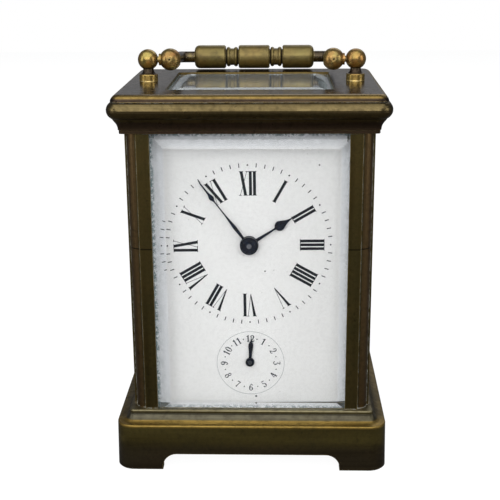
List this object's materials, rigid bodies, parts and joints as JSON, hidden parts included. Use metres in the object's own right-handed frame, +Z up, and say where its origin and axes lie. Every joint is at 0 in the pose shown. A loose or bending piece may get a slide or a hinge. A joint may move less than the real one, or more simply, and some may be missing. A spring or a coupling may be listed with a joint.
{
  "type": "carriage clock",
  "caption": "Glazed brass carriage clock with moulded cornice and bracket-foot base, folding bar handle, hinged rear door, enamel alarm dial and a visible spring-driven movement.",
  "frame": {"origin": "under the middle of the base, on the surface it stands on", "axes": "+Z up, the dial faces -Y and the rear door +Y, +X to the right of someone looking at the dial"},
  "size_m": [0.0976, 0.0828, 0.1467],
  "materials": {
    "base_brass": "dark patinated cast brass, worn bright on its arris",
    "cornice_brass": "dark purple-brown patina, polished highlights on the mouldings",
    "pillar_brass": "olive-brown patinated brass",
    "handle_brass": "worn golden brass with dark grooves",
    "bevelled_glass": "clear bevelled plate glass",
    "white_enamel": "white vitreous enamel on copper",
    "blued_steel": "heat-blued steel, nearly black",
    "blue_spring": "blued spring steel",
    "plate_brass": "lacquered matt brass plate",
    "wheel_brass": "cut and polished brass",
    "polished_steel": "polished tool steel",
    "bell_metal": "turned bell metal",
    "screw_brass": "brass screws dulled with age",
    "dial_print": "black ceramic print fired into the enamel"
  },
  "bodies": {
    "case": {"base_plinth": "base_brass", "pillar_front_left": "pillar_brass", "pillar_front_right": "pillar_brass", "pillar_rear_left": "pillar_brass", "pillar_rear_right": "pillar_brass", "cornice": "cornice_brass", "case_screws": "screw_brass", "front_glass": "bevelled_glass", "left_glass": "bevelled_glass", "right_glass": "bevelled_glass", "top_glass": "bevelled_glass", "handle_post_left": "handle_brass", "handle_post_right": "handle_brass", "dial": "white_enamel", "dial_feet": "plate_brass", "front_plate": "plate_brass", "back_plate": "plate_brass", "plate_pillars": "plate_brass", "plate_screws": "blued_steel", "movement_feet": "plate_brass", "movement_screws": "screw_brass", "platform": "plate_brass", "balance_cock": "plate_brass", "bell": "bell_metal", "bell_stand": "polished_steel", "click_springs": "polished_steel"},
    "handle": {"handle_arm_left": "handle_brass", "handle_arm_right": "handle_brass", "handle_grip": "handle_brass"},
    "door": {"door_frame": "pillar_brass", "door_glass": "bevelled_glass", "door_knob": "handle_brass"},
    "centre": {"centre_arbor": "polished_steel", "centre_wheel": "wheel_brass", "cannon_pinion": "polished_steel", "minute_hand": "blued_steel"},
    "hour": {"hour_wheel": "wheel_brass", "hour_hand": "blued_steel"},
    "minute_work": {"minute_wheel": "wheel_brass"},
    "barrel": {"going_barrel": "wheel_brass", "barrel_cover": "wheel_brass"},
    "winding": {"winding_arbor": "polished_steel", "winding_ratchet": "wheel_brass"},
    "click": {"winding_click": "polished_steel"},
    "third": {"third_wheel": "wheel_brass"},
    "contrate": {"contrate_wheel": "wheel_brass"},
    "escape": {"escape_wheel": "wheel_brass"},
    "lever": {"lever": "polished_steel"},
    "balance": {"balance_wheel": "plate_brass", "hairspring": "blue_spring"},
    "idler": {"alarm_idler": "wheel_brass"},
    "alarm_disc": {"alarm_wheel": "wheel_brass"},
    "alarm_set": {"alarm_arbor": "polished_steel", "alarm_hand": "blued_steel"},
    "alarm_barrel": {"alarm_barrel": "wheel_brass"},
    "alarm_winder": {"alarm_winding": "polished_steel"},
    "alarm_pawl": {"alarm_click": "polished_steel"},
    "alarm_verge": {"alarm_verge": "polished_steel"},
    "hammer": {"hammer": "polished_steel"}
  },
  "joints": [
    {"name": "handle_swing", "type": "hinge", "parent": "case", "child": "handle", "pos_m": [0, 0, 0.1428], "axis": [1, 0, 0], "range_deg": [0, 188.5]},
    {"name": "rear_door", "type": "hinge", "parent": "case", "child": "door", "pos_m": [-0.0316, 0.0336, 0.0717], "axis": [0, 0, 1], "range_deg": [0, 105]},
    {"name": "minute", "type": "hinge", "parent": "case", "child": "centre", "pos_m": [-0.0006, 0, 0.0803], "axis": [0, 1, 0], "continuous": true},
    {"name": "hour", "type": "hinge", "parent": "case", "child": "hour", "pos_m": [-0.0006, 0, 0.0803], "axis": [0, 1, 0], "continuous": true},
    {"name": "motion_work", "type": "hinge", "parent": "case", "child": "minute_work", "pos_m": [0.0047, 0, 0.07499], "axis": [0, 1, 0], "continuous": true},
    {"name": "barrel_turn", "type": "hinge", "parent": "case", "child": "barrel", "pos_m": [-0.0101, 0, 0.06293], "axis": [0, 1, 0], "continuous": true},
    {"name": "third_turn", "type": "hinge", "parent": "case", "child": "third", "pos_m": [-0.0091, 0, 0.09008], "axis": [0, 1, 0], "continuous": true},
    {"name": "contrate_turn", "type": "hinge", "parent": "case", "child": "contrate", "pos_m": [-0.0071, 0, 0.10078], "axis": [0, 1, 0], "continuous": true},
    {"name": "escape_turn", "type": "hinge", "parent": "case", "child": "escape", "pos_m": [-0.0071, -0.0018, 0.114], "axis": [0, 0, 1], "continuous": true},
    {"name": "alarm_idler_turn", "type": "hinge", "parent": "case", "child": "idler", "pos_m": [-0.00582, 0, 0.0579], "axis": [0, 1, 0], "continuous": true},
    {"name": "alarm_disc_turn", "type": "hinge", "parent": "case", "child": "alarm_disc", "pos_m": [-0.0006, 0, 0.0355], "axis": [0, 1, 0], "continuous": true},
    {"name": "wind_going", "type": "hinge", "parent": "case", "child": "winding", "pos_m": [-0.0101, 0, 0.06293], "axis": [0, 1, 0], "continuous": true},
    {"name": "click_going", "type": "hinge", "parent": "case", "child": "click", "pos_m": [-0.01818, 0, 0.05999], "axis": [0, 1, 0], "range_deg": [-14, 1]},
    {"name": "lever_rock", "type": "hinge", "parent": "case", "child": "lever", "pos_m": [-0.0012, -0.0018, 0.114], "axis": [0, 0, 1], "range_deg": [-4, 4]},
    {"name": "balance_swing", "type": "hinge", "parent": "case", "child": "balance", "pos_m": [0.0067, -0.0018, 0.117], "axis": [0, 0, 1], "range_deg": [-220, 220], "stiffness_Nm_per_rad": 0.000008},
    {"name": "alarm_set", "type": "hinge", "parent": "case", "child": "alarm_set", "pos_m": [-0.0006, 0, 0.0355], "axis": [0, 1, 0], "continuous": true},
    {"name": "alarm_barrel_turn", "type": "hinge", "parent": "case", "child": "alarm_barrel", "pos_m": [0.0142, 0, 0.0442], "axis": [0, 1, 0], "continuous": true},
    {"name": "alarm_verge_turn", "type": "hinge", "parent": "case", "child": "alarm_verge", "pos_m": [0.0192, 0, 0.05537], "axis": [0, 1, 0], "continuous": true},
    {"name": "wind_alarm", "type": "hinge", "parent": "case", "child": "alarm_winder", "pos_m": [0.0142, 0, 0.0442], "axis": [0, 1, 0], "continuous": true},
    {"name": "click_alarm", "type": "hinge", "parent": "case", "child": "alarm_pawl", "pos_m": [0.02002, 0, 0.03932], "axis": [0, 1, 0], "range_deg": [-14, 1]},
    {"name": "hammer_swing", "type": "hinge", "parent": "case", "child": "hammer", "pos_m": [0.0236, 0, 0.06097], "axis": [0, 1, 0], "range_deg": [-4, 2.6]}
  ],
  "couplings": [
    {"joint": "hour", "follows": "minute", "ratio": 0.083333},
    {"joint": "motion_work", "follows": "minute", "ratio": -0.33333},
    {"joint": "barrel_turn", "follows": "minute", "ratio": -0.125},
    {"joint": "third_turn", "follows": "minute", "ratio": -8},
    {"joint": "contrate_turn", "follows": "minute", "ratio": 60},
    {"joint": "escape_turn", "follows": "minute", "ratio": 480},
    {"joint": "alarm_idler_turn", "follows": "minute", "ratio": -0.029412},
    {"joint": "alarm_disc_turn", "follows": "minute", "ratio": 0.083333},
    {"joint": "alarm_verge_turn", "follows": "alarm_barrel_turn", "ratio": -7.5}
  ]
}
